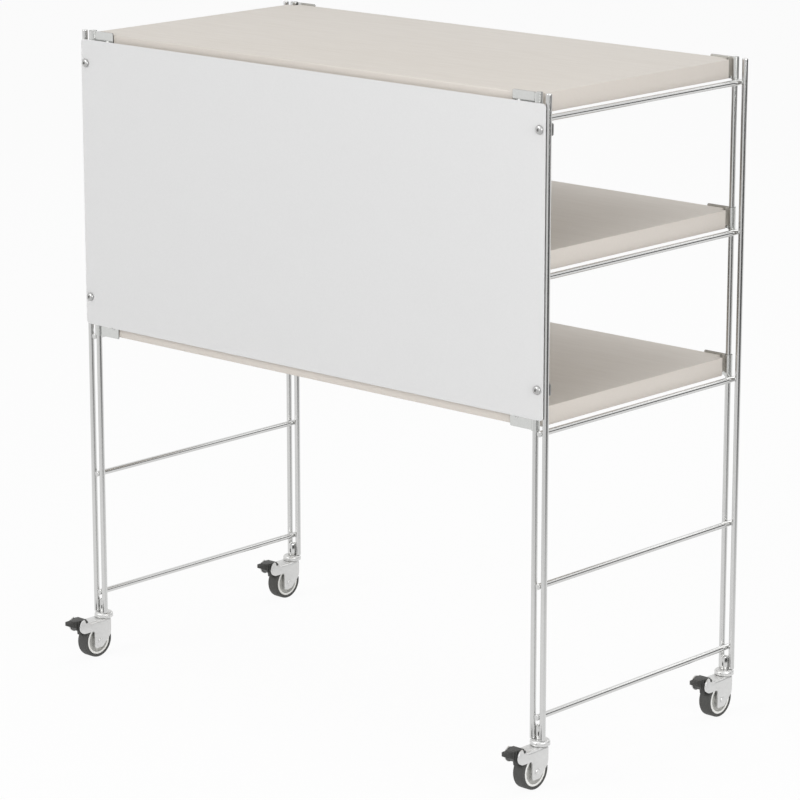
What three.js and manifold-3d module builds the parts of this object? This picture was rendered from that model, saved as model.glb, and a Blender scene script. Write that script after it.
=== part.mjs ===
// Medical chart rack on casters. Two welded ladder ends of bright round rod carry three shelves,
// which hang on rolled corner clips, and one plain panel across the front of the upper bays.
// Millimetres, +Z up, floor at Z = 0, the panel faces -Y and the bays open towards +Y.

import * as THREE from 'three';
import { mergeVertices } from 'three/addons/utils/BufferGeometryUtils.js';
import Module from 'manifold-3d';

const wasm = await Module();
wasm.setup();

// Ladder ends: pairs of upright rods with the rungs welded between them
const rackWidth = 850;
const rackDepth = 410;
const uprightDiameter = 8;
const rungDiameter = 8;
const rodEndChamfer = 0.8;
const rodTopStand = 2.2;
const lowerRungSpacing = 176.5;
const rungEndInset = 1;

// Gaps between pieces that touch: a weld or seat, and a turning fit
const seatGap = 0.3;
const turningGap = 0.3;

// Sockets that the caster stems stand in, nested behind each pair of rods
const socketSetback = 5;
const socketWeldBite = 0.3;
const socketSpare = 3;
const socketRungGap = 8;

// Shelves, each hung on the rung at its level
const shelfLevels = ['top', 'middle', 'bottom'];
const shelfPitch = 201.8;
const shelfThickness = 25;
const shelfLift = 5.4;
const shelfEdgeRadius = 3;
const notchClearance = 7.5;

// Corner clips: a plate on the shelf's long edge, rolled round the inner rod
const clipSheet = 1.2;
const clipReach = 41.5;
const clipTopStand = 2.5;
const clipSeamAngle = THREE.MathUtils.degToRad(25);

// Front panel, its screws between the rods, and the clamp plates behind them
const panelThickness = 1.5;
const panelTopDrop = 12.2;
const panelBottomRise = 19;
const panelEndInset = 3.3;
const panelCornerRadius = 5;
const screwRodGap = 1;
const screwHeadOverhang = 3;
const screwHeadHeight = 3.6;
const screwSocketAcross = 4;
const screwSocketDepth = 2;
const screwTail = 2;
const clampOverhang = 3.2;
const clampHeight = 16;
const clampRungGap = 0.6;
const clampClipGap = 17.6;
const clampThickness = 2;
const clampCornerRadius = 2;
const clampNutWall = 2;
const clampNutHeight = 4;

// Caster wheel
const wheelDiameter = 50;
const tyreWidth = 19;
const tyreDepth = 4.2;
const tyreShoulder = 2.2;
const rimInset = 1;
const rimLip = 3;
const webRecess = 4;
const axleDiameter = 6;
const hubBossWall = 4.5;
const axleHeadEdge = 1.2;
const axleHeadHeight = 1.2;
const wheelTrail = 19;

// Caster fork: two pressed cheeks under one crown, with a lobe on each cheek for the pedal
const cheekGap = 0.8;
const forkSheet = 2;
const crownThickness = 2.5;
const crownPedalGap = 4;
const crownBend = 3;
const crownInnerBend = 1.2;
const cheekBack = 2.6;
const cheekShoulderRise = 7;
const cheekFillet = 3;
const cheekBackFillet = 9;
const legHalfWidth = 10.3;
const legHeelSetback = 6.5;
const legDrop = 10;
const lobeRadius = 10.5;
const lobeDrop = 3;
const lobeCentreAhead = 2.2;
const earWall = 1.6;

// Swivel head: stem, cover cup and rivet, turning on the crown's ball race
const raceEdge = 0.4;
const raceHeight = 2;
const raceGap = 0.6;
const headHeight = 5.1;
const headOverhang = 1.5;
const headSkirtGap = 0.5;
const headSeatDiameter = 18.8;
const headShoulder = 3.6;
const stemDiameter = 7.8;
const stemHeight = 15;
const rivetDiameter = 9.2;
const rivetFlangeEdge = 2.4;
const rivetFlangeHeight = 2;
const flangeTyreGap = 0.2;

// Brake pedal
const pedalPivotLead = 0.5;
const pedalPivotRise = 3.8;
const pedalPinDiameter = 4;
const pedalSideGap = 0.8;
const pedalTongueReach = 28.5;
const pedalShoulder = 7;
const pedalTeeth = 3;
const pedalToothPitch = 4.35;
const pedalToothStep = 1.25;
const pedalToothDepth = 1.85;
const pedalToothRun = 1.3;
const pedalBack = 2.5;
const pedalTopRise = 2.7;
const pedalDepth = 14.5;
const pedalFillet = 1.5;
const tongueWidth = 10;
const tongueTipHeight = 4.5;
const tongueRootHeight = 9;
const gripRibs = 3;
const gripRibPitch = 3;
const gripRibLead = 2.5;
const gripRibHeight = 0.6;
const gripRibTop = 0.7;
const gripRibFoot = 1.4;
const shoeInset = 2.5;
const shoeLength = 4;
const shoeDepth = 20.8;
const shoeAhead = 0.5;

// Facets round a full turn, steps along a curve, and the sides of a hexagon
const rodFacets = 16;
const turnedFacets = 16;
const tyreFacets = 24;
const smallFacets = 12;
const cornerSteps = 3;
const edgeSteps = 4;
const roundSteps = 6;
const domeSteps = 5;
const hexagonSides = 6;
const weldTolerance = 1e-4;

// Wheel, fork and swivel sizes that follow from those above
const wheelRadius = wheelDiameter / 2;
const rimDiameter = wheelDiameter - 2 * (tyreDepth + seatGap);
const rimWidth = tyreWidth - 2 * rimInset;
const forkHalfWidth = tyreWidth / 2 + cheekGap + forkSheet;
const crownUnder = wheelDiameter + flangeTyreGap + rivetFlangeHeight + turningGap;
const crownTop = crownUnder + crownThickness;
const raceDiameter = 2 * (forkHalfWidth - raceEdge);
const headRimDiameter = raceDiameter + 2 * headOverhang;
const headBase = crownTop + raceHeight + raceGap;
const pivotY = -(wheelTrail + wheelRadius + pedalPivotLead);
const pivotZ = crownTop + pedalPivotRise;
const crownFront = pivotY + pedalBack + crownPedalGap;
const pedalTip = pivotY - pedalTongueReach;
const lobeY = pivotY - lobeCentreAhead;
const lobeZ = crownTop - lobeDrop;

// Ladder sizes and places
const rodSpacing = uprightDiameter + rungDiameter + 2 * seatGap;
const outerRodX = (rackWidth - uprightDiameter) / 2;
const innerRodX = outerRodX - rodSpacing;
const rungX = outerRodX - rodSpacing / 2;
const rodRowY = (rackDepth - uprightDiameter) / 2;
const swivelY = rodRowY - socketSetback;
const socketBore = stemDiameter + 2 * seatGap;
const socketRadius = Math.hypot(socketSetback, rodSpacing / 2) - uprightDiameter / 2 + socketWeldBite;
const socketHeight = stemHeight + socketSpare;
const bottomRungHeight = socketHeight + socketRungGap + rungDiameter / 2;
const topRungDrop = shelfLift + shelfThickness + rodTopStand;
const shelvedHeight = shelfLevels.length * shelfPitch;
const uprightLength = bottomRungHeight + lowerRungSpacing + shelvedHeight + topRungDrop;
const rodBottom = headBase + headHeight + seatGap;
const rodTop = rodBottom + uprightLength;
const rungHeights = [];
for (let level = 0; level <= shelfLevels.length; level += 1) {
  rungHeights.push(rodTop - topRungDrop - level * shelfPitch);
}
rungHeights.push(rodBottom + bottomRungHeight);
const lowestShelfRung = rungHeights[shelfLevels.length - 1];

// Clip and panel sizes and places; a clip's rolled end sits on the rung at the clip's seat
const clipInnerRadius = uprightDiameter / 2 + seatGap;
const clipOuterRadius = clipInnerRadius + clipSheet;
const clipSeat = Math.sqrt((rungDiameter / 2) ** 2 - (rodSpacing / 2 - clipOuterRadius) ** 2) + seatGap;
const clipTop = shelfLift + shelfThickness + clipTopStand;
const clipHeight = clipTop - clipSeat;
const notchSize = clipOuterRadius + notchClearance;
const screwDiameter = rungDiameter - 2 * screwRodGap;
const clampWidth = rodSpacing + 2 * clampOverhang;
const panelTop = rodTop - panelTopDrop;
const panelHeight = panelTop - lowestShelfRung - panelBottomRise;
const panelMiddle = panelTop - panelHeight / 2;
const panelBackY = -(rodRowY + clipOuterRadius + seatGap);
const panelFrontY = panelBackY - panelThickness;
const clampFrontY = -(rackDepth / 2 - uprightDiameter - seatGap);
const clampBackY = clampFrontY + clampThickness + clampNutHeight;
const screwRows = [
  { name: 'top', height: rungHeights[0] - rungDiameter / 2 - clampRungGap - clampHeight / 2 },
  { name: 'bottom', height: lowestShelfRung + clipTop + clampClipGap + clampHeight / 2 },
];

// The origin is on the floor, under the middle of the rack with its front pedals
const frontReach = swivelY - pedalTip;
const backReach = Math.max(rackDepth / 2, swivelY + headRimDiameter / 2);
const originShift = (frontReach - backReach) / 2;

// Finishes
const brightRod = new THREE.MeshStandardMaterial({ color: 0xd4d4d6, roughness: 0.18, metalness: 1 });
const platedSheet = new THREE.MeshStandardMaterial({ color: 0xcfcfd1, roughness: 0.24, metalness: 1 });
const laminate = new THREE.MeshStandardMaterial({ color: 0xddd7d0, roughness: 0.55, metalness: 0 });
const panelPaint = new THREE.MeshStandardMaterial({ color: 0xdedede, roughness: 0.5, metalness: 0 });
const zincSheet = new THREE.MeshStandardMaterial({ color: 0xd0d0d0, roughness: 0.35, metalness: 0.8 });
const hubPlastic = new THREE.MeshStandardMaterial({ color: 0xe4e4e0, roughness: 0.45, metalness: 0 });
const tyreRubber = new THREE.MeshStandardMaterial({ color: 0x4b4b49, roughness: 0.7, metalness: 0 });
const pedalPlastic = new THREE.MeshStandardMaterial({ color: 0x3b3b39, roughness: 0.5, metalness: 0 });

// Turn a closed geometry into a solid for joining and cutting
function solidOf(geometry) {
  const bare = geometry.clone();
  bare.deleteAttribute('normal');
  bare.deleteAttribute('uv');
  const merged = mergeVertices(bare, weldTolerance);
  const corners = merged.index.array;
  const triangles = [];
  for (let at = 0; at < corners.length; at += 3) {
    const [a, b, c] = corners.slice(at, at + 3);
    if (a !== b && b !== c && c !== a) {
      triangles.push(a, b, c);
    }
  }
  const vertProperties = Float32Array.from(merged.attributes.position.array);
  const triVerts = Uint32Array.from(triangles);
  return new wasm.Manifold(new wasm.Mesh({ numProp: 3, vertProperties, triVerts }));
}

function geometryOf(solid) {
  const mesh = solid.getMesh();
  const geometry = new THREE.BufferGeometry();
  geometry.setAttribute('position', new THREE.BufferAttribute(mesh.vertProperties, 3));
  geometry.setIndex(new THREE.BufferAttribute(mesh.triVerts, 1));
  geometry.computeVertexNormals();
  return geometry;
}

function joined(...geometries) {
  return geometryOf(geometries.map(solidOf).reduce((sum, next) => sum.add(next)));
}

function cutFrom(geometry, ...cutters) {
  return geometryOf(cutters.map(solidOf).reduce((left, next) => left.subtract(next), solidOf(geometry)));
}

function common(first, second) {
  return geometryOf(solidOf(first).intersect(solidOf(second)));
}

// Revolve a profile of [radius, height] points about the Z axis
function turned(profile, facets) {
  const points = profile.map(([radius, height]) => new THREE.Vector2(radius, height));
  return new THREE.LatheGeometry(points, facets).rotateX(Math.PI / 2);
}

// Lay a Z-axis solid along X, or stand a flat outline (Y, Z) up and thicken it along X
function alongX(geometry) {
  return geometry.rotateY(Math.PI / 2);
}

function acrossX(shape, width, segments) {
  const options = { depth: width, bevelEnabled: false, curveSegments: segments };
  const turn = new THREE.Matrix4().makeBasis(
    new THREE.Vector3(0, 1, 0),
    new THREE.Vector3(0, 0, 1),
    new THREE.Vector3(1, 0, 0),
  );
  return new THREE.ExtrudeGeometry(shape, options).translate(0, 0, -width / 2).applyMatrix4(turn);
}

function upright(shape, height, segments) {
  return new THREE.ExtrudeGeometry(shape, { depth: height, bevelEnabled: false, curveSegments: segments });
}

// Outline of straight sides with each corner [x, y, radius] rounded
function filleted(corners) {
  const shape = new THREE.Shape();
  corners.forEach(([x, y, radius], at) => {
    const corner = new THREE.Vector2(x, y);
    const before = corners[(at + corners.length - 1) % corners.length];
    const after = corners[(at + 1) % corners.length];
    const back = new THREE.Vector2(before[0], before[1]).sub(corner).setLength(radius);
    const ahead = new THREE.Vector2(after[0], after[1]).sub(corner).setLength(radius);
    const start = corner.clone().add(back);
    const end = corner.clone().add(ahead);
    if (at === 0) {
      shape.moveTo(start.x, start.y);
    } else {
      shape.lineTo(start.x, start.y);
    }
    if (radius > 0) {
      shape.quadraticCurveTo(corner.x, corner.y, end.x, end.y);
    }
  });
  shape.closePath();
  return shape;
}

function rectangle(width, height, radius) {
  return filleted([
    [-width / 2, -height / 2, radius],
    [width / 2, -height / 2, radius],
    [width / 2, height / 2, radius],
    [-width / 2, height / 2, radius],
  ]);
}

function roundHole(x, y, radius) {
  return new THREE.Path().absarc(x, y, radius, 0, 2 * Math.PI, true);
}

function rod(diameter, length, facets) {
  const radius = diameter / 2;
  return turned([
    [0, 0],
    [radius - rodEndChamfer, 0],
    [radius, rodEndChamfer],
    [radius, length - rodEndChamfer],
    [radius - rodEndChamfer, length],
    [0, length],
  ], facets);
}

const rack = new THREE.Group();
rack.position.y = originShift;

function place(parent, name, geometry, material, x, y, z) {
  const mesh = new THREE.Mesh(geometry, material);
  mesh.name = name;
  mesh.position.set(x, y, z);
  parent.add(mesh);
  return mesh;
}

const sides = [
  { name: 'left', sign: -1 },
  { name: 'right', sign: 1 },
];
const rows = [
  { name: 'front', sign: -1 },
  { name: 'rear', sign: 1 },
];

// One upright: the inner and outer rod with the caster socket welded between their feet.
// It is made for the front row, where the socket is on the +Y side.
function uprightPair() {
  const inner = rod(uprightDiameter, uprightLength, rodFacets).translate(-rodSpacing / 2, 0, 0);
  const outer = rod(uprightDiameter, uprightLength, rodFacets).translate(rodSpacing / 2, 0, 0);
  const socket = turned([
    [socketBore / 2, 0],
    [socketRadius, 0],
    [socketRadius, socketHeight],
    [socketBore / 2, socketHeight],
    [socketBore / 2, 0],
  ], turnedFacets).translate(0, socketSetback, 0);
  return joined(inner, outer, socket);
}

function ladderEnds() {
  const pair = uprightPair();
  const rungLength = rackDepth - 2 * rungEndInset;
  const rung = rod(rungDiameter, rungLength, smallFacets)
    .translate(0, 0, -rungLength / 2)
    .rotateX(Math.PI / 2);
  const ends = new THREE.Group();
  for (const side of sides) {
    for (const row of rows) {
      const name = `upright_${row.name}_${side.name}`;
      const mesh = place(ends, name, pair, brightRod, side.sign * rungX, row.sign * rodRowY, rodBottom);
      mesh.rotation.z = row.sign > 0 ? Math.PI : 0;
    }
    rungHeights.forEach((height, at) => {
      place(ends, `rung_${side.name}_${at + 1}`, rung, brightRod, side.sign * rungX, 0, height);
    });
  }
  return ends;
}

// A shelf board with rounded long edges, notched at the corners for the rods and clips
function shelfBoard() {
  const length = 2 * innerRodX;
  const depth = 2 * rodRowY;
  const board = acrossX(rectangle(depth, shelfThickness, shelfEdgeRadius), length, edgeSteps);
  const notches = [];
  for (const side of sides) {
    for (const row of rows) {
      const notch = new THREE.BoxGeometry(2 * notchSize, 2 * notchSize, 2 * shelfThickness);
      notches.push(notch.translate(side.sign * innerRodX, row.sign * rodRowY, 0));
    }
  }
  return cutFrom(board, ...notches);
}

// A corner clip round the rod at the origin: the plate runs along +X on the +Y side of the shelf
function cornerClip() {
  const inner = seatGap;
  const outer = seatGap + clipSheet;
  const shape = new THREE.Shape();
  shape.moveTo(clipReach, inner);
  shape.lineTo(clipReach, outer);
  shape.lineTo(Math.sqrt(clipOuterRadius ** 2 - outer ** 2), outer);
  const seam = 2 * Math.PI - clipSeamAngle;
  shape.absarc(0, 0, clipOuterRadius, Math.asin(outer / clipOuterRadius), seam, false);
  shape.lineTo(clipInnerRadius * Math.cos(clipSeamAngle), -clipInnerRadius * Math.sin(clipSeamAngle));
  shape.absarc(0, 0, clipInnerRadius, seam, Math.asin(inner / clipInnerRadius), true);
  shape.closePath();
  return upright(shape, clipHeight, roundSteps).translate(0, 0, -clipHeight / 2);
}

function shelves() {
  const board = shelfBoard();
  const clip = cornerClip();
  const group = new THREE.Group();
  shelfLevels.forEach((level, at) => {
    const rungHeight = rungHeights[at];
    place(group, `shelf_${level}`, board, laminate, 0, 0, rungHeight + shelfLift + shelfThickness / 2);
    const clipMiddle = rungHeight + clipSeat + clipHeight / 2;
    for (const side of sides) {
      for (const row of rows) {
        const name = `clip_${level}_${row.name}_${side.name}`;
        const x = side.sign * innerRodX;
        const mesh = place(group, name, clip, platedSheet, x, row.sign * rodRowY, clipMiddle);
        mesh.rotation.set(row.sign < 0 ? Math.PI : 0, side.sign > 0 ? Math.PI : 0, 0);
      }
    }
  });
  return group;
}

// Front panel against the clips' rolled ends, with a hole for each through screw
function panelSheet() {
  const shape = rectangle(rackWidth - 2 * panelEndInset, panelHeight, panelCornerRadius);
  for (const side of sides) {
    for (const row of screwRows) {
      const holeRadius = screwDiameter / 2 + seatGap;
      shape.holes.push(roundHole(side.sign * rungX, row.height - panelMiddle, holeRadius));
    }
  }
  return upright(shape, panelThickness, roundSteps).rotateX(Math.PI / 2);
}

// Button-head screw with a hexagon socket: head towards +Z, seat at Z = 0
function panelScrew() {
  const shank = screwDiameter / 2;
  const head = shank + screwHeadOverhang;
  const length = clampBackY - panelFrontY + seatGap + screwTail;
  const dome = new THREE.EllipseCurve(0, 0, head, screwHeadHeight, 0, Math.PI / 2).getPoints(domeSteps);
  const body = turned([
    [0, -length],
    [shank - rodEndChamfer, -length],
    [shank, rodEndChamfer - length],
    [shank, 0],
    ...dome.map((point, at) => [at === domeSteps ? 0 : point.x, point.y]),
  ], smallFacets);
  const keyRadius = screwSocketAcross / Math.sqrt(3);
  const socket = new THREE.CylinderGeometry(keyRadius, keyRadius, 2 * screwSocketDepth, hexagonSides);
  return cutFrom(body, socket.rotateX(Math.PI / 2).translate(0, 0, screwHeadHeight));
}

// Clamp plate across the back of both rods, with its weld nut: plate at Z = 0, nut towards +Z
function clampPlate() {
  const nutRadius = (screwDiameter + 2 * clampNutWall) / Math.sqrt(3);
  const holeRadius = screwDiameter / 2 + seatGap;
  const total = clampThickness + clampNutHeight;
  const plate = upright(rectangle(clampWidth, clampHeight, clampCornerRadius), clampThickness, cornerSteps);
  const nut = new THREE.CylinderGeometry(nutRadius, nutRadius, total, hexagonSides);
  const hole = new THREE.CylinderGeometry(holeRadius, holeRadius, 3 * total, smallFacets);
  return cutFrom(
    joined(plate, nut.rotateX(Math.PI / 2).translate(0, 0, total / 2)),
    hole.rotateX(Math.PI / 2),
  );
}

function frontPanel() {
  const group = new THREE.Group();
  const screw = panelScrew().rotateX(Math.PI / 2);
  const clamp = clampPlate().rotateX(-Math.PI / 2);
  place(group, 'front_panel', panelSheet(), panelPaint, 0, panelBackY, panelMiddle);
  for (const side of sides) {
    for (const row of screwRows) {
      const tag = `${row.name}_${side.name}`;
      const x = side.sign * rungX;
      place(group, `panel_screw_${tag}`, screw, platedSheet, x, panelFrontY - seatGap, row.height);
      place(group, `panel_clamp_${tag}`, clamp, platedSheet, x, clampFrontY, row.height);
    }
  }
  return group;
}

// Swivel head. The caster's pieces are drawn round the swivel axis, with the wheel trailing to -Y.
function swivelHead() {
  const rim = headRimDiameter / 2;
  const seat = headSeatDiameter / 2;
  const inside = raceDiameter / 2 + turningGap;
  const skirt = crownTop + headSkirtGap;
  const rivet = rivetDiameter / 2;
  const top = headBase + headHeight;
  const flangeTop = crownUnder - turningGap;
  return turned([
    [0, flangeTop - rivetFlangeHeight],
    [rivet + rivetFlangeEdge, flangeTop - rivetFlangeHeight],
    [rivet + rivetFlangeEdge, flangeTop],
    [rivet, flangeTop],
    [rivet, headBase],
    [inside, headBase],
    [inside, skirt],
    [rim, skirt],
    [rim, top - headShoulder],
    [seat + (rim - seat) * Math.SQRT1_2, top - headShoulder * (1 - Math.SQRT1_2)],
    [seat, top],
    [stemDiameter / 2, top],
    [stemDiameter / 2, top + seatGap + stemHeight],
    [0, top + seatGap + stemHeight],
  ], turnedFacets);
}

// Side outline of the cheeks and crown: a leg to the axle and a straight crown above the tyre
function cheekOutline() {
  const legFront = -(wheelTrail + legHalfWidth);
  const legBottom = wheelRadius - legDrop;
  return filleted([
    [cheekBack, crownTop, 0],
    [crownFront, crownTop, 0],
    [crownFront, lobeZ - lobeRadius, 0],
    [legFront, lobeZ - lobeRadius, cheekFillet],
    [legFront, legBottom, cheekFillet],
    [legHeelSetback - wheelTrail, legBottom, cheekFillet],
    [cheekBack, wheelRadius + cheekShoulderRise, cheekBackFillet],
  ]);
}

// End outline of the fork: an arch with rounded bends, open at the bottom
function archOutline() {
  const inner = forkHalfWidth - forkSheet;
  return filleted([
    [-forkHalfWidth, 0, 0],
    [-inner, 0, 0],
    [-inner, crownUnder, crownInnerBend],
    [inner, crownUnder, crownInnerBend],
    [inner, 0, 0],
    [forkHalfWidth, 0, 0],
    [forkHalfWidth, crownTop, crownBend],
    [-forkHalfWidth, crownTop, crownBend],
  ]);
}

// Lobe on each cheek ahead of the wheel, with an open slot under its ear for the pedal's pin
function lobeOutline() {
  const slot = pedalPinDiameter / 2 + turningGap;
  const earAngle = Math.PI / 2 + Math.asin((slot + earWall - lobeCentreAhead) / lobeRadius);
  const root = crownFront + forkSheet;
  const shape = new THREE.Shape();
  shape.moveTo(root, lobeZ - lobeRadius);
  shape.lineTo(lobeY, lobeZ - lobeRadius);
  shape.absarc(lobeY, lobeZ, lobeRadius, 1.5 * Math.PI, earAngle, true);
  shape.lineTo(pivotY - slot, pivotZ);
  shape.absarc(pivotY, pivotZ, slot, Math.PI, 2 * Math.PI, false);
  shape.lineTo(root, crownTop - crownBend);
  shape.closePath();
  return shape;
}

function casterFork() {
  const length = cheekBack - crownFront + 2 * forkSheet;
  const arch = upright(archOutline(), length, cornerSteps)
    .rotateX(Math.PI / 2)
    .translate(0, cheekBack + forkSheet, 0);
  const cheeks = acrossX(cheekOutline(), 3 * forkHalfWidth, cornerSteps);
  const race = turned([
    [0, crownUnder],
    [raceDiameter / 2, crownUnder],
    [raceDiameter / 2, crownTop],
    [raceDiameter / 2 - raceHeight, crownTop + raceHeight],
    [0, crownTop + raceHeight],
  ], turnedFacets);
  const lobes = [-1, 1].map((sign) => {
    const offset = sign * (forkHalfWidth - forkSheet / 2);
    return acrossX(lobeOutline(), forkSheet, edgeSteps).translate(offset, 0, 0);
  });
  const axleRadius = axleDiameter / 2;
  const headRadius = axleRadius + axleHeadEdge;
  const headEnd = forkHalfWidth + axleHeadHeight;
  const axle = alongX(turned([
    [0, -headEnd],
    [headRadius, -headEnd],
    [headRadius, seatGap - forkHalfWidth],
    [axleRadius, seatGap - forkHalfWidth],
    [axleRadius, forkHalfWidth - seatGap],
    [headRadius, forkHalfWidth - seatGap],
    [headRadius, headEnd],
    [0, headEnd],
  ], smallFacets)).translate(0, -wheelTrail, wheelRadius);
  const pinRadius = rivetDiameter / 2 + turningGap;
  const pinHole = turned([
    [0, crownUnder - crownThickness],
    [pinRadius, crownUnder - crownThickness],
    [pinRadius, headBase],
    [0, headBase],
  ], turnedFacets);
  return cutFrom(joined(common(arch, cheeks), race, ...lobes, axle), pinHole);
}

function wheelHub() {
  const bore = axleDiameter / 2 + turningGap;
  const boss = axleDiameter / 2 + hubBossWall;
  const bossHalf = forkHalfWidth - forkSheet - turningGap;
  const rim = rimDiameter / 2;
  const rimHalf = rimWidth / 2;
  const webHalf = rimHalf - webRecess;
  return alongX(turned([
    [bore, -bossHalf],
    [boss, -bossHalf],
    [boss, -webHalf],
    [rim - rimLip, -webHalf],
    [rim - rimLip, -rimHalf],
    [rim, -rimHalf],
    [rim, rimHalf],
    [rim - rimLip, rimHalf],
    [rim - rimLip, webHalf],
    [boss, webHalf],
    [boss, bossHalf],
    [bore, bossHalf],
    [bore, -bossHalf],
  ], turnedFacets));
}

function wheelTyre() {
  const bore = rimDiameter / 2 + seatGap;
  const half = tyreWidth / 2;
  const shoulder = (sign) => [0, Math.PI / 4, Math.PI / 2].map((angle) => [
    wheelRadius - tyreShoulder * (1 - Math.sin(angle)),
    sign * (half - tyreShoulder * (1 - Math.cos(angle))),
  ]);
  return alongX(turned([
    [bore, -rimWidth / 2],
    ...shoulder(-1),
    ...shoulder(1).reverse(),
    [bore, rimWidth / 2],
    [bore, -rimWidth / 2],
  ], tyreFacets));
}

// Brake pedal on its pin: a body that narrows in steps, a ribbed tongue for the foot, and a shoe
// that swings back against the tread when the tongue is pressed
function brakePedal() {
  const half = forkHalfWidth - forkSheet - pedalSideGap;
  const top = pivotZ + pedalTopRise;
  const edge = [[half, pivotY + pedalBack, pedalFillet]];
  for (let tooth = 0; tooth < pedalTeeth; tooth += 1) {
    const front = pivotY - pedalShoulder - tooth * pedalToothPitch;
    const wide = half - tooth * pedalToothStep;
    edge.push([wide, front, 0], [wide - pedalToothDepth, front - pedalToothRun, 0]);
  }
  const bodyFront = edge[edge.length - 1][1];
  const mirrored = edge.map(([x, y, radius]) => [-x, y, radius]);
  const outline = filleted([...mirrored, ...edge.reverse()]);
  const body = upright(outline, pedalDepth, cornerSteps).translate(0, 0, top - pedalDepth);
  const ribs = [];
  for (let rib = 0; rib < gripRibs; rib += 1) {
    const middle = bodyFront - gripRibLead - rib * gripRibPitch;
    ribs.push(
      [middle + gripRibFoot / 2, top, 0],
      [middle + gripRibTop / 2, top + gripRibHeight, 0],
      [middle - gripRibTop / 2, top + gripRibHeight, 0],
      [middle - gripRibFoot / 2, top, 0],
    );
  }
  const tongue = acrossX(filleted([
    [pivotY - pedalShoulder, top, 0],
    ...ribs,
    [pedalTip, top, pedalFillet],
    [pedalTip, top - tongueTipHeight, pedalFillet],
    [bodyFront, top - tongueRootHeight, pedalFillet],
    [pivotY - pedalShoulder, top - tongueRootHeight, 0],
  ]), tongueWidth - pedalFillet, cornerSteps);
  const pinLength = 2 * forkHalfWidth;
  const pin = alongX(rod(pedalPinDiameter, pinLength, smallFacets).translate(0, 0, -pinLength / 2));
  const shoe = new THREE.BoxGeometry(tyreWidth - 2 * shoeInset, shoeLength, shoeDepth);
  const shoeY = pivotY - shoeAhead - shoeLength / 2;
  return joined(
    body,
    tongue,
    pin.translate(0, pivotY, pivotZ),
    shoe.translate(0, shoeY, pivotZ - shoeDepth / 2),
  );
}

function casters() {
  const head = swivelHead();
  const fork = casterFork();
  const hub = wheelHub();
  const tyre = wheelTyre();
  const pedal = brakePedal();
  const group = new THREE.Group();
  for (const side of sides) {
    for (const row of rows) {
      const caster = new THREE.Group();
      const tag = `caster_${row.name}_${side.name}`;
      caster.position.set(side.sign * rungX, row.sign * swivelY, 0);
      place(caster, `${tag}_head`, head, zincSheet, 0, 0, 0);
      place(caster, `${tag}_fork`, fork, zincSheet, 0, 0, 0);
      place(caster, `${tag}_hub`, hub, hubPlastic, 0, -wheelTrail, wheelRadius);
      place(caster, `${tag}_tyre`, tyre, tyreRubber, 0, -wheelTrail, wheelRadius);
      place(caster, `${tag}_pedal`, pedal, pedalPlastic, 0, 0, 0);
      group.add(caster);
    }
  }
  return group;
}

rack.add(ladderEnds(), shelves(), frontPanel(), casters());

export default rack;
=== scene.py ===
"""Dresses the chart rack: rod ladder ends, shelves on clips, a plain panel and four braked casters."""
import logging
import math
from dataclasses import dataclass
from enum import Enum, IntEnum
from typing import Iterable, Sequence

import bmesh
import bpy
from mathutils import Matrix, Vector


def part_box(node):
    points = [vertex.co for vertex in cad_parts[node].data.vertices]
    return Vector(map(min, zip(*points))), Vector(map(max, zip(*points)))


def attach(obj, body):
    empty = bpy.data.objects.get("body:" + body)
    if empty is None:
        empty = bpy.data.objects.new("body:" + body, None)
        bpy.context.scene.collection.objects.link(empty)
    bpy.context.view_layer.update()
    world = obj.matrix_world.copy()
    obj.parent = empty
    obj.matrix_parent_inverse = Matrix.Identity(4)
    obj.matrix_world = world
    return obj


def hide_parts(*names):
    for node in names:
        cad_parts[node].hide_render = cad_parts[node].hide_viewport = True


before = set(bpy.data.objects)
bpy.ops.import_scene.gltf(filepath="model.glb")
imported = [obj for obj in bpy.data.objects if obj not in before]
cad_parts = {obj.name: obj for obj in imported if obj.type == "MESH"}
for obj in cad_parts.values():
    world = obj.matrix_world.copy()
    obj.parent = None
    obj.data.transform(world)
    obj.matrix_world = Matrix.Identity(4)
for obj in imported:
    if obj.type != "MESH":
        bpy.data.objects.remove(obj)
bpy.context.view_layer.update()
LOG = logging.getLogger("chart_rack")

# One millimetre in Blender's metres, and the distance within which points are one
MM = 0.001
WELD = 1e-6

# Millimetres within which two places are the same, and the turn under which faces are one flat face
TOUCH = 0.01
FLAT = math.radians(0.5)

# The image is square, and the lens is given for a film of this width
FILM_WIDTH = 36.0

# How many finer layers a grain's noise has, and how strong each is beside the last
GRAIN_LAYERS = 3.0
GRAIN_STRENGTH = 0.6

# Numbers of a Mix node's colour sockets, whose names it uses more than once
MIX_FIRST, MIX_SECOND, MIX_RESULT = 6, 7, 2

Profile = Sequence[tuple[float, float]]
Corners = Sequence[tuple[float, float, float]]


class Side(Enum):
    """The rack's ends, as signs along X."""

    LEFT = -1
    RIGHT = 1


class Row(Enum):
    """The rack's front and rear uprights, as signs along Y."""

    FRONT = -1
    REAR = 1


class Axis(Enum):
    """Turning axes: the axis itself, and the direction in which a profile's radius is drawn."""

    X = (Vector((1, 0, 0)), Vector((0, 0, 1)))
    Y = (Vector((0, 1, 0)), Vector((1, 0, 0)))
    Z = (Vector((0, 0, 1)), Vector((1, 0, 0)))


class Plane(Enum):
    """Drawing planes, as the directions of an outline's two coordinates and of its thickness."""

    PLAN = (Vector((1, 0, 0)), Vector((0, 1, 0)), Vector((0, 0, 1)))
    SIDE = (Vector((0, 1, 0)), Vector((0, 0, 1)), Vector((1, 0, 0)))
    FRONT = (Vector((1, 0, 0)), Vector((0, 0, 1)), Vector((0, -1, 0)))

    def matrix(self) -> Matrix:
        """Return the turn from drawing coordinates to the rack's frame."""
        return Matrix([list(row) for row in zip(*self.value)]).to_4x4()


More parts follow.
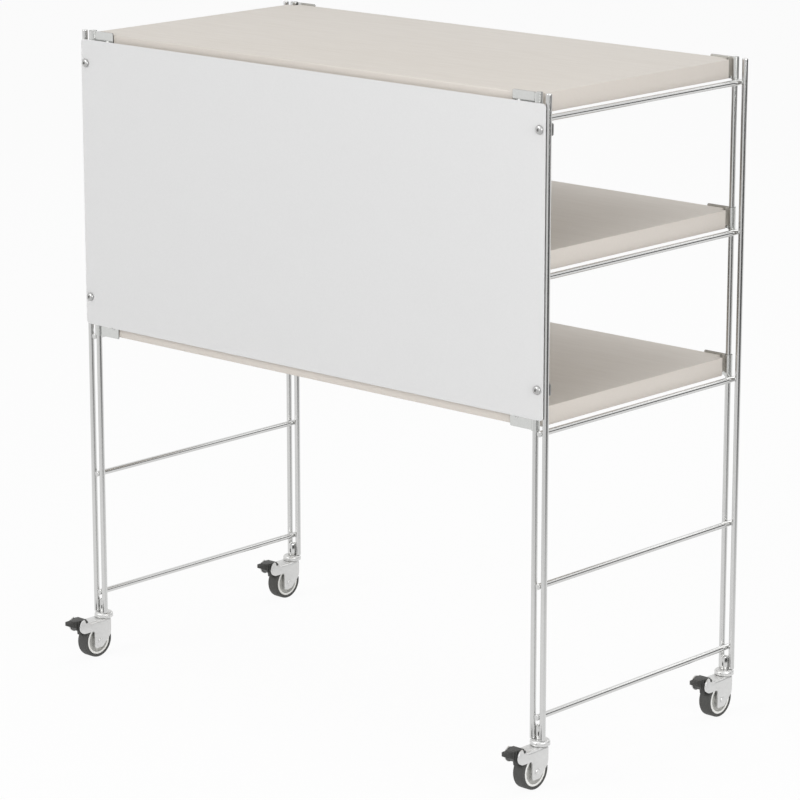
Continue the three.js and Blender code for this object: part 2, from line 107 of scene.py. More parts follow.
class Cut(Enum):
    """Ways in which two closed shapes are combined."""

    JOIN = "UNION"
    TAKE = "DIFFERENCE"
    KEEP = "INTERSECT"


class Facets(IntEnum):
    """Facets in a full turn, by what is turned."""

    SCREW = 28
    ROD = 40
    BUTTON = 48
    HEAD = 64
    HUB = 72
    TYRE = 96


def name_of(row: Row, side: Side) -> str:
    """Return the words that node names use for one corner of the rack."""
    return f"{row.name.lower()}_{side.name.lower()}"


def close_up(bm: bmesh.types.BMesh) -> bmesh.types.BMesh:
    """Merge doubled points and turn every face outwards.

    Args:
        bm: A closed mesh, which is changed.

    Returns:
        The same mesh.
    """
    bmesh.ops.remove_doubles(bm, verts=bm.verts[:], dist=WELD)
    bmesh.ops.recalc_face_normals(bm, faces=bm.faces[:])
    return bm


def spun(profile: Profile, axis: Axis, steps: Facets) -> bmesh.types.BMesh:
    """Turn a profile about an axis through the origin.

    Args:
        profile: Points of radius and height along the axis, in millimetres.
        axis: The axis to turn about.
        steps: Facets in a full turn.

    Returns:
        A closed mesh, if the profile is closed or ends on the axis.
    """
    along, out = axis.value
    bm = bmesh.new()
    points = [bm.verts.new((out * radius + along * height) * MM) for radius, height in profile]
    edges = [bm.edges.new(pair) for pair in zip(points, points[1:])]
    bmesh.ops.spin(
        bm, geom=points + edges, cent=(0, 0, 0), axis=along,
        angle=math.tau, steps=steps, use_merge=True,
    )
    return close_up(bm)


class Outline:
    """A flat outline of straight runs and arcs, traced in millimetres from a start point."""

    def __init__(self, start: tuple[float, float]) -> None:
        """Begin the trace at a point.

        Args:
            start: The point, in millimetres.
        """
        self.bm = bmesh.new()
        self.first = self.bm.verts.new((start[0] * MM, start[1] * MM, 0))
        self.last = self.first

    def line(self, *points: tuple[float, float]) -> "Outline":
        """Run straight on through the given points.

        Args:
            points: The points, in millimetres.

        Returns:
            The outline itself.
        """
        for across, up in points:
            made = bmesh.ops.extrude_vert_indiv(self.bm, verts=[self.last])
            self.last = made["verts"][0]
            self.last.co = (across * MM, up * MM, 0)
        return self

    def arc(self, centre: tuple[float, float], degrees: float, steps: int) -> "Outline":
        """Run on round a centre.

        Args:
            centre: The arc's centre, in millimetres.
            degrees: The angle to turn, anticlockwise where it is positive.
            steps: Segments in the arc.

        Returns:
            The outline itself.
        """
        made = bmesh.ops.spin(
            self.bm, geom=[self.last], cent=(centre[0] * MM, centre[1] * MM, 0),
            axis=(0, 0, 1), angle=math.radians(degrees), steps=steps,
        )
        self.last = next(part for part in made["geom_last"] if isinstance(part, bmesh.types.BMVert))
        return self

    def plate(self, thickness: float, plane: Plane) -> bmesh.types.BMesh:
        """Close the outline, fill it and thicken it evenly to both sides.

        Args:
            thickness: Thickness in millimetres.
            plane: The plane in which the outline was drawn.

        Returns:
            A closed plate.
        """
        self.bm.edges.new((self.last, self.first))
        bmesh.ops.contextual_create(self.bm, geom=self.bm.edges[:])
        return thickened(self.bm, thickness, plane)


def thickened(bm: bmesh.types.BMesh, thickness: float, plane: Plane) -> bmesh.types.BMesh:
    """Extrude a flat face in the drawing plane evenly to both sides, and turn it into place.

    Args:
        bm: A mesh with one flat face, which is changed.
        thickness: Thickness in millimetres.
        plane: The plane in which the face was drawn.

    Returns:
        The same mesh, closed.
    """
    bmesh.ops.translate(bm, verts=bm.verts[:], vec=(0, 0, -thickness / 2 * MM))
    made = bmesh.ops.extrude_face_region(bm, geom=bm.faces[:], use_keep_orig=True)
    top = [part for part in made["geom"] if isinstance(part, bmesh.types.BMVert)]
    bmesh.ops.translate(bm, verts=top, vec=(0, 0, thickness * MM))
    bmesh.ops.transform(bm, matrix=plane.matrix(), verts=bm.verts[:])
    return close_up(bm)


def rounded_plate(corners: Corners, thickness: float, plane: Plane, steps: int = 6) -> bmesh.types.BMesh:
    """Make a plate from straight-sided corners that are then rounded.

    Args:
        corners: Two coordinates and a fillet for each corner, in millimetres.
        thickness: Thickness in millimetres.
        plane: The plane in which the corners are given.
        steps: Segments in each fillet.

    Returns:
        A closed plate.
    """
    bm = bmesh.new()
    points = [bm.verts.new((across * MM, up * MM, 0)) for across, up, _ in corners]
    bm.faces.new(points)
    for point, (_, _, fillet) in zip(points, corners):
        if fillet > 0:
            bmesh.ops.bevel(
                bm, geom=[point], offset=fillet * MM, affect="VERTICES",
                segments=steps, profile=0.5, material=-1,
            )
    return thickened(bm, thickness, plane)


def rectangle(width: float, height: float, fillet: float) -> Corners:
    """Return the corners of a rectangle about the origin, each with the same fillet."""
    signs = ((-1, -1), (1, -1), (1, 1), (-1, 1))
    return [(width / 2 * across, height / 2 * up, fillet) for across, up in signs]


def mirrored(half: Profile) -> Profile:
    """Return a turned profile closed by its own mirror image across the middle."""
    return [*half, *[(radius, -height) for radius, height in reversed(half)], half[0]]


def hexagon(across: float, depth: float) -> bmesh.types.BMesh:
    """Make a six-sided prism about the origin, along Y.

    Args:
        across: Width across the flats in millimetres.
        depth: Length in millimetres.

    Returns:
        A closed prism.
    """
    bm = bmesh.new()
    radius = across / math.sqrt(3) * MM
    bmesh.ops.create_cone(
        bm, cap_ends=True, segments=6, radius1=radius, radius2=radius, depth=depth * MM,
        matrix=Matrix.Rotation(math.pi / 2, 4, "X"),
    )
    return bm


def softened(
    bm: bmesh.types.BMesh, width: float, segments: int = 2, sharper: float = 30
) -> bmesh.types.BMesh:
    """Round every edge that is sharper than an angle.

    Args:
        bm: A closed mesh, which is changed.
        width: Width of the rounding in millimetres.
        segments: Segments across the rounding.
        sharper: The angle between faces, in degrees, past which an edge is rounded.

    Returns:
        The same mesh.
    """
    limit = math.radians(sharper)
    edges = [edge for edge in bm.edges if edge.is_manifold and edge.calc_face_angle() > limit]
    bmesh.ops.bevel(
        bm, geom=edges, offset=width * MM, affect="EDGES", segments=segments,
        profile=0.5, material=-1, clamp_overlap=True,
    )
    return bm


def moved(bm: bmesh.types.BMesh, across: float, along: float, up: float) -> bmesh.types.BMesh:
    """Shift a mesh by millimetres and return it."""
    bmesh.ops.translate(bm, verts=bm.verts[:], vec=Vector((across, along, up)) * MM)
    return bm


def gathered(*shapes: bmesh.types.BMesh) -> bmesh.types.BMesh:
    """Put several closed shapes into the first one's mesh, freeing the others.

    Args:
        shapes: The shapes, which stay separate shells.

    Returns:
        The first mesh, with the rest added.
    """
    whole = shapes[0]
    for shape in shapes[1:]:
        data = bpy.data.meshes.new("shell")
        shape.to_mesh(data)
        shape.free()
        whole.from_mesh(data)
        bpy.data.meshes.remove(data)
    return whole


def combined(base: bmesh.types.BMesh, tool: bmesh.types.BMesh, how: Cut) -> bmesh.types.BMesh:
    """Join two closed shapes, cut one from the other or keep what they share.

    Args:
        base: The first shape, which is freed.
        tool: The second shape, which is freed.
        how: The way to combine them.

    Returns:
        A new closed mesh, with its flat triangles dissolved.
    """
    objects = []
    for label, shape in (("base", base), ("tool", tool)):
        data = bpy.data.meshes.new(label)
        shape.to_mesh(data)
        shape.free()
        obj = bpy.data.objects.new(label, data)
        bpy.context.scene.collection.objects.link(obj)
        objects.append(obj)
    cutter = objects[0].modifiers.new("combine", "BOOLEAN")
    cutter.operation = how.value
    cutter.solver = "EXACT"
    cutter.object = objects[1]
    bpy.context.view_layer.update()
    result = bmesh.new()
    result.from_object(objects[0], bpy.context.evaluated_depsgraph_get())
    for obj in objects:
        data = obj.data
        bpy.data.objects.remove(obj)
        bpy.data.meshes.remove(data)
    close_up(result)
    bmesh.ops.dissolve_limit(result, angle_limit=FLAT, verts=result.verts[:], edges=result.edges[:])
    return result


def copied(bm: bmesh.types.BMesh, place: Vector) -> bmesh.types.BMesh:
    """Copy a mesh to another place.

    Args:
        bm: The mesh, which stays as it is.
        place: The shift in metres.

    Returns:
        The shifted copy.
    """
    twin = bm.copy()
    bmesh.ops.translate(twin, verts=twin.verts[:], vec=place)
    return twin


def linear(code: str) -> tuple[float, float, float, float]:
    """Turn an sRGB hex colour into a linear one.

    Args:
        code: The colour, as #RRGGBB.

    Returns:
        Red, green, blue and a full alpha.
    """
    parts = [int(code[at:at + 2], 16) / 255 for at in (1, 3, 5)]
    light = [part / 12.92 if part <= 0.04045 else ((part + 0.055) / 1.055) ** 2.4 for part in parts]
    return (*light, 1.0)


def add_node(
    tree: bpy.types.NodeTree, kind: str, settings: dict | None = None, links: dict | None = None
) -> bpy.types.Node:
    """Add a node, set its properties and sockets, and link sockets into it.

    Args:
        tree: The node tree.
        kind: The node's type name.
        settings: Values by property name, or by socket name or number.
        links: Output sockets by the input's name or number.

    Returns:
        The new node.
    """
    node = tree.nodes.new(kind)
    for key, value in (settings or {}).items():
        if isinstance(key, str) and hasattr(node, key):
            setattr(node, key, value)
        else:
            node.inputs[key].default_value = value
    for key, socket in (links or {}).items():
        tree.links.new(socket, node.inputs[key])
    return node


@dataclass(frozen=True)
class Finish:
    """A surface: its colour with a drifting second tone, its gloss, and the grain that breaks it up.

    The grain is a noise of a real size, stretched along the given axes, that moves the colour
    between its two tones, spreads the roughness and lifts a fine relief.
    """

    name: str
    color: str
    tone: str
    metallic: float
    roughness: float
    spread: float
    grain: float
    relief: float
    stretch: tuple[float, float, float] = (1.0, 1.0, 1.0)

    def material(self) -> bpy.types.Material:
        """Return the finish as a material, made on first use.

        Returns:
            The material, with its grain worked out from object coordinates.
        """
        made = bpy.data.materials.get(self.name)
        if made is not None:
            return made
        made = bpy.data.materials.new(self.name)
        made.use_nodes = True
        tree = made.node_tree
        shader = tree.nodes["Principled BSDF"]
        shader.inputs["Metallic"].default_value = self.metallic
        grain = self.grain_value(tree)
        tones = add_node(
            tree, "ShaderNodeMix",
            {"data_type": "RGBA", MIX_FIRST: linear(self.color), MIX_SECOND: linear(self.tone)},
            {0: grain},
        )
        gloss = add_node(
            tree, "ShaderNodeMapRange",
            {"To Min": self.roughness - self.spread, "To Max": self.roughness + self.spread},
            {"Value": grain},
        )
        bump = add_node(
            tree, "ShaderNodeBump", {"Strength": 1.0, "Distance": self.relief * MM}, {"Height": grain},
        )
        tree.links.new(tones.outputs[MIX_RESULT], shader.inputs["Base Color"])
        tree.links.new(gloss.outputs[0], shader.inputs["Roughness"])
        tree.links.new(bump.outputs[0], shader.inputs["Normal"])
        return made

    def grain_value(self, tree: bpy.types.NodeTree) -> bpy.types.NodeSocket:
        """Return the grain's value from 0 to 1, in object coordinates.

        Args:
            tree: The material's node tree.

        Returns:
            The socket that carries the grain.
        """
        place = add_node(tree, "ShaderNodeTexCoord")
        scaled = add_node(
            tree, "ShaderNodeMapping", {"vector_type": "POINT", "Scale": self.stretch},
            {"Vector": place.outputs["Object"]},
        )
        noise = add_node(
            tree, "ShaderNodeTexNoise",
            {"Scale": 1 / (self.grain * MM), "Detail": GRAIN_LAYERS, "Roughness": GRAIN_STRENGTH},
            {"Vector": scaled.outputs[0]},
        )
        return noise.outputs["Fac"]


# Chromium plate on drawn steel rod: a mirror, very slightly clouded by the drawn surface
ROD_CHROME = Finish(
    "polished_chrome_rod", "#D2D2D1", "#CBCBCA",
    metallic=1.0, roughness=0.12, spread=0.02, grain=6.0, relief=0.0004,
)
# Bright nickel plate on rolled sheet: a softer mirror than the rods, with a slight texture
CLIP_NICKEL = Finish(
    "bright_nickel_sheet", "#D3D4D2", "#C8C9C7",
    metallic=1.0, roughness=0.2, spread=0.05, grain=3.0, relief=0.004,
)
# Edge faces of the same sheet, dull and darker than the plated faces: painted shade for the dark line along
# the clip's top edge
CLIP_RIM_SHADE = Finish(
    "clip_rim_painted_shade", "#4A4A49", "#3E3E3D",
    metallic=1.0, roughness=0.42, spread=0.06, grain=1.5, relief=0.01,
)
# Zinc plate on clamps and button screws: dull, and darker than the same zinc on the casters, a painted dark
# reflection that is strongest on the clamps
CLAMP_ZINC_PAINTED_REFLECTION = Finish(
    "zinc_clamp_painted_dark_reflection", "#A2A2A1", "#969695",
    metallic=1.0, roughness=0.3, spread=0.05, grain=2.0, relief=0.004,
)
SCREW_ZINC_PAINTED_REFLECTION = Finish(
    "zinc_screw_painted_dark_reflection", "#B9B9B8", "#AFAFAE",
    metallic=1.0, roughness=0.32, spread=0.05, grain=2.0, relief=0.004,
)
# Melamine laminate: warm off-white with long pale streaks, drawn coarser than they are
MELAMINE = Finish(
    "warm_white_melamine", "#DCD6CE", "#D3CCC3",
    metallic=0.0, roughness=0.5, spread=0.06, grain=9.0, relief=0.02, stretch=(0.12, 1.0, 1.0),
)
# Extruded ABS edge band: the board's colour without its streaks, a little glossier
EDGE_BAND = Finish(
    "warm_white_abs_edge", "#D9D2CA", "#D4CDC5",
    metallic=0.0, roughness=0.42, spread=0.04, grain=4.0, relief=0.008,
)
# Powder coat on sheet steel: even light grey with orange peel, drawn coarser than it is
POWDER_COAT = Finish(
    "light_grey_powder_coat", "#DFDFDF", "#DADADA",
    metallic=0.0, roughness=0.42, spread=0.05, grain=2.4, relief=0.02,
)
# Zinc plate on turned and pressed steel: grey, satin, and slightly cloudy
ZINC = Finish(
    "satin_zinc_plate", "#DDDDDC", "#D2D2D1",
    metallic=0.7, roughness=0.36, spread=0.06, grain=5.0, relief=0.006,
)
# Moulded nylon: pale, with the faint mottling of a moulded face
HUB_NYLON = Finish(
    "white_moulded_nylon", "#F9F9F6", "#F1F1ED",
    metallic=0.0, roughness=0.4, spread=0.05, grain=2.0, relief=0.01,
)
# The same nylon, darker, on the recessed web and boss: painted shade of the recess
WEB_NYLON_PAINTED_SHADE = Finish(
    "grey_moulded_nylon", "#C8C8C4", "#BEBEBA",
    metallic=0.0, roughness=0.5, spread=0.05, grain=2.0, relief=0.01,
)
# Thermoplastic rubber: dark grey and matt, with a dusty bloom
TYRE_RUBBER = Finish(
    "dark_grey_rubber", "#4B4B49", "#434341",
    metallic=0.0, roughness=0.66, spread=0.08, grain=1.6, relief=0.03,
)
# Glass-filled nylon: near black with a spark-eroded grain
PEDAL_NYLON = Finish(
    "black_filled_nylon", "#3A3A38", "#323230",
    metallic=0.0, roughness=0.5, spread=0.07, grain=1.2, relief=0.03,
)


@dataclass(frozen=True)
class Piece:
    """One finished piece: what it is called, what carries it and which nodes it stands for."""

    name: str
    body: str
    slot: str
    nodes: tuple[str, ...] = ()

    def make(
        self, bm: bmesh.types.BMesh, finishes: Sequence[Finish], smooth_below: float = 35
    ) -> bpy.types.Object:
        """Turn a mesh into an object, dress it and set it on its body.

        Args:
            bm: The mesh in the rack's frame, which is freed.
            finishes: Finishes in the order of the mesh's material numbers.
            smooth_below: Angle between faces, in degrees, under which shading is smooth.

        Returns:
            The object, at the origin.
        """
        limit = math.radians(smooth_below)
        for face in bm.faces:
            face.smooth = True
        for edge in bm.edges:
            edge.smooth = edge.is_manifold and edge.calc_face_angle() < limit
        data = bpy.data.meshes.new(self.name)
        bm.to_mesh(data)
        bm.free()
        for finish in finishes:
            data.materials.append(finish.material())
        obj = bpy.data.objects.new(self.name, data)
        bpy.context.scene.collection.objects.link(obj)
        if self.nodes:
            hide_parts(*self.nodes)
        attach(obj, self.body)
        LOG.info("%s on %s, %d faces", self.name, self.body, len(data.polygons))
        return obj


def rod(length: float, diameter: float, axis: Axis, nose: float = 0.8) -> bmesh.types.BMesh:
    """Make a round rod from the origin along an axis, with its ends broken.

    Args:
        length: Length in millimetres.
        diameter: Diameter in millimetres.
        axis: The rod's axis.
        nose: Width of the broken edge at each end, in millimetres.

    Returns:
        A closed rod.
    """
    # The collar rings keep the shading of the long shank square to its axis
    radius, collar = diameter / 2, 2 * nose
    bm = spun([
        (0, 0), (radius, 0), (radius, collar), (radius, length - collar), (radius, length), (0, length),
    ], axis, Facets.ROD)
    return softened(bm, nose, segments=3, sharper=60)


@dataclass(frozen=True)
class LadderEnds:
    """Two ladder ends of round rod, with a caster socket at the foot of each pair of uprights."""

    rod_diameter: float = 8.0
    socket_diameter: float = 12.0
    socket_bore: float = 8.4
    socket_height: float = 18.0
    socket_edge: float = 0.5
    weld_width: float = 2.2
    weld_height: float = 3.4
    rungs: int = 5

    def build(self) -> None:
        """Make every upright pair and rung."""
        for side in Side:
            for row in Row:
                self.upright(row, side)
            for at in range(1, self.rungs + 1):
                self.rung(side, at)

    def rod_places(self, row: Row, side: Side) -> tuple[Vector, Vector]:
        """Find the feet of a pair of rods.

        Args:
            row: Front or rear.
            side: Left or right.

        Returns:
            The feet of the left and the right rod, on their axes and in metres.
        """
        low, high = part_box(f"upright_{name_of(row, side)}")
        radius = self.rod_diameter / 2 * MM
        along = low.y + radius if row is Row.FRONT else high.y - radius
        return Vector((low.x + radius, along, low.z)), Vector((high.x - radius, along, low.z))

    def upright(self, row: Row, side: Side) -> None:
        """Make one pair of rods with its socket and the welds of its rungs.

        Args:
            row: Front or rear.
            side: Left or right.
        """
        node = f"upright_{name_of(row, side)}"
        low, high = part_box(node)
        left, right = self.rod_places(row, side)
        length = (high.z - low.z) / MM
        single = rod(length, self.rod_diameter, Axis.Z)
        reach = high.y if row is Row.FRONT else low.y
        outer = self.socket_diameter / 2
        centre = Vector(((low.x + high.x) / 2, reach + row.value * outer * MM, low.z))
        bore = self.socket_bore / 2
        tube = spun(
            [(bore, 0), (outer, 0), (outer, self.socket_height), (bore, self.socket_height), (bore, 0)],
            Axis.Z, Facets.ROD,
        )
        softened(tube, self.socket_edge)
        parts = [copied(single, left), copied(single, right), copied(tube, centre)]
        single.free()
        tube.free()
        for at in range(1, self.rungs + 1):
            parts += self.welds(side, at, left, right)
        Piece(f"rods_{name_of(row, side)}", "rack", "bright_rod", (node,)).make(
            gathered(*parts), [ROD_CHROME],
        )

    def welds(self, side: Side, at: int, left: Vector, right: Vector) -> list[bmesh.types.BMesh]:
        """Make the small welds where a rung lies between the two rods.

        Args:
            side: Left or right.
            at: The rung's number from the top.
            left: Foot of the left rod.
            right: Foot of the right rod.

        Returns:
            Two closed beads.
        """
        low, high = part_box(f"rung_{side.name.lower()}_{at}")
        middle = (low + high) / 2
        beads = []
        for edge in ((left.x + low.x) / 2 + self.rod_diameter / 4 * MM,
                     (right.x + high.x) / 2 - self.rod_diameter / 4 * MM):
            bead = bmesh.new()
            size = Matrix.Diagonal((self.weld_width / 2, self.weld_height / 2, self.weld_height / 2, 1))
            bmesh.ops.create_uvsphere(bead, u_segments=12, v_segments=8, radius=MM, matrix=size)
            bmesh.ops.translate(bead, verts=bead.verts[:], vec=(edge, left.y, middle.z))
            beads.append(bead)
        return beads

    def rung(self, side: Side, at: int) -> None:
        """Make one rung.

        Args:
            side: Left or right.
            at: The rung's number from the top.
        """
        node = f"rung_{side.name.lower()}_{at}"
        low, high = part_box(node)
        bar = rod((high.y - low.y) / MM, self.rod_diameter, Axis.Y)
        place = Vector(((low.x + high.x) / 2, low.y, (low.z + high.z) / 2))
        bmesh.ops.translate(bar, verts=bar.verts[:], vec=place)
        Piece(f"bar_{side.name.lower()}_{at}", "rack", "bright_rod", (node,)).make(bar, [ROD_CHROME])


@dataclass(frozen=True)
class ShelfSet:
    """Three laminate boards hung on rolled corner clips, each clip with its screw.

    The crown and slots of a screw's head are given as shares of its size.
    """

    levels: tuple[str, ...] = ("top", "middle", "bottom")
    notch: float = 13.0
    long_edge: float = 2.6
    short_edge: float = 0.7
    laminate_tilt: float = 0.7
    clip_sheet: float = 1.2
    clip_gap: float = 0.3
    clip_corner: float = 2.0
    clip_rim: float = 0.2
    clip_rim_angle: float = 50.0
    seam: float = 25.0
    rod_diameter: float = 8.0
    screw_from_end: float = 11.0
    screw_head: float = 6.4
    screw_rise: float = 1.9
    screw_crown: Profile = ((1.0, 0.35), (0.72, 0.85))
    screw_edge: float = 0.3
    slot_width: float = 0.9
    slot_length: float = 0.62
    slot_corner: float = 0.2
    slot_middle: float = 1.4

    def build(self, ends: LadderEnds) -> None:
        """Make the boards, clips and screws.

        Args:
            ends: The ladder ends, which give the places of the rods.
        """
        for level in self.levels:
            self.board(level)
            for side in Side:
                for row in Row:
                    self.clip(level, row, side, ends)

    def board(self, level: str) -> None:
        """Make one board, notched at its corners, with edge band on its upright faces.

        Args:
            level: The board's name.
        """
        node = f"shelf_{level}"
        low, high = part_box(node)
        size, middle = (high - low) / MM, (low + high) / 2
        wide, deep, cut = size.x / 2, size.y / 2, self.notch
        quarter = [(wide - cut, -deep), (wide - cut, cut - deep), (wide, cut - deep)]
        outline = [(x, y, 0) for x, y in quarter]
        outline += [(x, -y, 0) for x, y in reversed(quarter)]
        outline += [(-x, -y, 0) for x, y in quarter]
        outline += [(-x, y, 0) for x, y in reversed(quarter)]
        bm = rounded_plate(outline, size.z, Plane.PLAN)
        long_edges = [
            edge for edge in bm.edges
            if all(abs(abs(end.co.y) / MM - deep) < TOUCH for end in edge.verts)
            and abs(edge.verts[0].co.z - edge.verts[1].co.z) < WELD
        ]
        bmesh.ops.bevel(
            bm, geom=long_edges, offset=self.long_edge * MM, affect="EDGES", segments=4,
            profile=0.5, material=-1,
        )
        softened(bm, self.short_edge, sharper=60)
        for face in bm.faces:
            face.material_index = 0 if abs(face.normal.z) > self.laminate_tilt else 1
        bmesh.ops.translate(bm, verts=bm.verts[:], vec=middle)
        Piece(f"board_{level}", "rack", "shelf_laminate", (node,)).make(bm, [MELAMINE, EDGE_BAND])

    def rolled_sheet(self, reach: float, height: float) -> bmesh.types.BMesh:
        """Roll a sheet without thickness: a plate along +X that ends in a ring round the origin.

        Args:
            reach: Length of the plate from the ring's axis, in millimetres.
            height: Height of the sheet in millimetres.

        Returns:
            An open mesh, with the plate's free corners rounded.
        """
        ring = self.rod_diameter / 2 + self.clip_gap + self.clip_sheet / 2
        level_at = self.clip_gap + self.clip_sheet / 2
        bm = bmesh.new()
        free_end = [bm.verts.new((reach * MM, level_at * MM, z * MM)) for z in (0, height)]
        edge = bm.edges.new(free_end)
        root = math.sqrt(ring ** 2 - level_at ** 2)
        made = bmesh.ops.extrude_edge_only(bm, edges=[edge])["geom"]
        points = [part for part in made if isinstance(part, bmesh.types.BMVert)]
        bmesh.ops.translate(bm, verts=points, vec=((root - reach) * MM, 0, 0))
        last = [part for part in made if isinstance(part, bmesh.types.BMEdge)
                and all(end in points for end in part.verts)]
        turn = math.tau - math.radians(self.seam) - math.asin(level_at / ring)
        bmesh.ops.spin(
            bm, geom=points + last, cent=(0, 0, 0), axis=(0, 0, 1), angle=turn, steps=28,
        )
        bmesh.ops.remove_doubles(bm, verts=bm.verts[:], dist=WELD)
        tips = [point for point in bm.verts if abs(point.co.x - reach * MM) < WELD]
        bmesh.ops.bevel(
            bm, geom=tips, offset=self.clip_corner * MM, affect="VERTICES", segments=4,
            profile=0.5, material=-1,
        )
        return bm

    def clip(self, level: str, row: Row, side: Side, ends: LadderEnds) -> None:
        """Make one clip: a plate along the board's edge, rolled round the inner rod.

        Args:
            level: The board's name.
            row: Front or rear.
            side: Left or right.
            ends: The ladder ends, which give the place of the rod.
        """
        corner = f"{level}_{name_of(row, side)}"
        low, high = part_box(f"clip_{corner}")
        pair = ends.rod_places(row, side)
        post = pair[1] if side is Side.LEFT else pair[0]
        inward, outward = -side.value, row.value
        reach = (high.x - post.x if side is Side.LEFT else post.x - low.x) / MM
        bm = self.rolled_sheet(reach, (high.z - low.z) / MM)
        turned = Matrix.Diagonal((inward, outward, 1, 1))
        bmesh.ops.transform(bm, matrix=turned, verts=bm.verts[:])
        bmesh.ops.recalc_face_normals(bm, faces=bm.faces[:])
        bmesh.ops.translate(bm, verts=bm.verts[:], vec=(post.x, post.y, low.z))
        piece = Piece(f"plate_{corner}", "rack", "clip_steel", (f"clip_{corner}",))
        clip = piece.make(bm, [CLIP_NICKEL, CLIP_RIM_SHADE])
        wall = clip.modifiers.new("sheet", "SOLIDIFY")
        wall.thickness = self.clip_sheet * MM
        wall.offset = 0.0
        # The rim faces take the second finish: painted shade along the sheet's edges
        wall.material_offset_rim = 1
        rim = clip.modifiers.new("broken_edges", "BEVEL")
        rim.width = self.clip_rim * MM
        rim.segments = 2
        rim.limit_method = "ANGLE"
        rim.angle_limit = math.radians(self.clip_rim_angle)
        self.screw(corner, Vector((
            post.x + inward * (reach - self.screw_from_end) * MM,
            post.y + outward * (self.clip_gap + self.clip_sheet) * MM,
            (low.z + high.z) / 2,
        )), outward)

    def screw(self, corner: str, seat: Vector, outward: int) -> None:
        """Make the cross-slotted screw that holds a clip to its board.

        Args:
            corner: The clip's corner.
            seat: Where the head meets the plate.
            outward: The sign along Y of the head's side.
        """
        head, rise = self.screw_head / 2, self.screw_rise
        crown = [(head * out, rise * up) for out, up in self.screw_crown]
        bm = spun([(0, 0), (head, 0), *crown, (0, rise)], Axis.Y, Facets.SCREW)
        softened(bm, self.screw_edge, sharper=20)
        short, long = self.slot_width, self.slot_length * self.screw_head
        for wide, tall in ((short, long), (long, short)):
            slot = rounded_plate(rectangle(wide, tall, self.slot_corner), 2 * rise, Plane.FRONT, steps=2)
            bm = combined(bm, moved(slot, 0, self.slot_middle * rise, 0), Cut.TAKE)
        if outward < 0:
            half_turn = Matrix.Rotation(math.pi, 3, "Z")
            bmesh.ops.rotate(bm, verts=bm.verts[:], cent=(0, 0, 0), matrix=half_turn)
        bmesh.ops.translate(bm, verts=bm.verts[:], vec=seat)
        Piece(f"clip_screw_{corner}", "rack", "fastener_steel").make(bm, [ZINC])


@dataclass(frozen=True)
class FrontPanel:
    """The plain sheet across the front, with its button screws and the clamps behind the rods.

    The crown of a button head is given as shares of its radius and rise.
    """

    corner: float = 5.0
    rim: float = 0.35
    shank: float = 6.0
    head: float = 12.0
    rise: float = 3.4
    crown: Profile = ((0.6, 0.0), (0.88, 0.22), (1.0, 0.7), (1.0, 1.0))
    head_edge: float = 0.5
    key: float = 4.0
    key_depth: float = 2.0
    clamp_corner: float = 2.0
    clamp_sheet: float = 2.0
    clamp_edge: float = 0.4
    nut_across: float = 10.0
    nut_edge: float = 0.5
    nut_gap: float = 0.1

    def build(self) -> None:
        """Make the sheet, its screws and clamps."""
        low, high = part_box("front_panel")
        size = (high - low) / MM
        sheet = rounded_plate(rectangle(size.x, size.z, self.corner), size.y, Plane.FRONT, steps=8)
        softened(sheet, self.rim, segments=3, sharper=60)
        bmesh.ops.translate(sheet, verts=sheet.verts[:], vec=(low + high) / 2)
        Piece("panel_sheet", "rack", "panel_paint", ("front_panel",)).make(sheet, [POWDER_COAT])
        for side in Side:
            for level in ("top", "bottom"):
                self.screw(f"{level}_{side.name.lower()}")
                self.clamp(f"{level}_{side.name.lower()}")

    def screw(self, corner: str) -> None:
        """Make one button screw with its six-sided key hole.

        Args:
            corner: The screw's level and side.
        """
        node = f"panel_screw_{corner}"
        low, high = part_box(node)
        middle, length = (low + high) / 2, (high.y - low.y) / MM
        shank, head, rise = self.shank / 2, self.head / 2, self.rise
        crown = [(head * out, rise * up) for out, up in self.crown]
        profile = [(0, 0), *crown, (shank, rise), (shank, length), (0, length)]
        screw = softened(spun(profile, Axis.Y, Facets.BUTTON), self.head_edge, segments=3, sharper=15)
        screw = combined(screw, hexagon(self.key, 2 * self.key_depth), Cut.TAKE)
        bmesh.ops.translate(screw, verts=screw.verts[:], vec=(middle.x, low.y, middle.z))
        # The button screw's zinc is darkened with painted dark reflection
        Piece(f"button_screw_{corner}", "rack", "fastener_steel", (node,)).make(screw, [SCREW_ZINC_PAINTED_REFLECTION])

    def clamp(self, corner: str) -> None:
        """Make one clamp plate with its weld nut.

        Args:
            corner: The clamp's level and side.
        """
        node = f"panel_clamp_{corner}"
        low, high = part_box(node)
        size, middle = (high - low) / MM, (low + high) / 2
        plate = rounded_plate(rectangle(size.x, size.z, self.clamp_corner), self.clamp_sheet, Plane.FRONT)
        softened(plate, self.clamp_edge, sharper=60)
        nut = softened(hexagon(self.nut_across, size.y - self.clamp_sheet), self.nut_edge)
        clamp = gathered(plate, moved(nut, 0, size.y / 2 + self.nut_gap, 0))
        place = (middle.x, low.y + self.clamp_sheet / 2 * MM, middle.z)
        bmesh.ops.translate(clamp, verts=clamp.verts[:], vec=place)
        # The clamp's zinc is darkened with painted dark reflection
        Piece(f"clamp_{corner}", "rack", "fastener_steel", (node,)).make(clamp, [CLAMP_ZINC_PAINTED_REFLECTION])


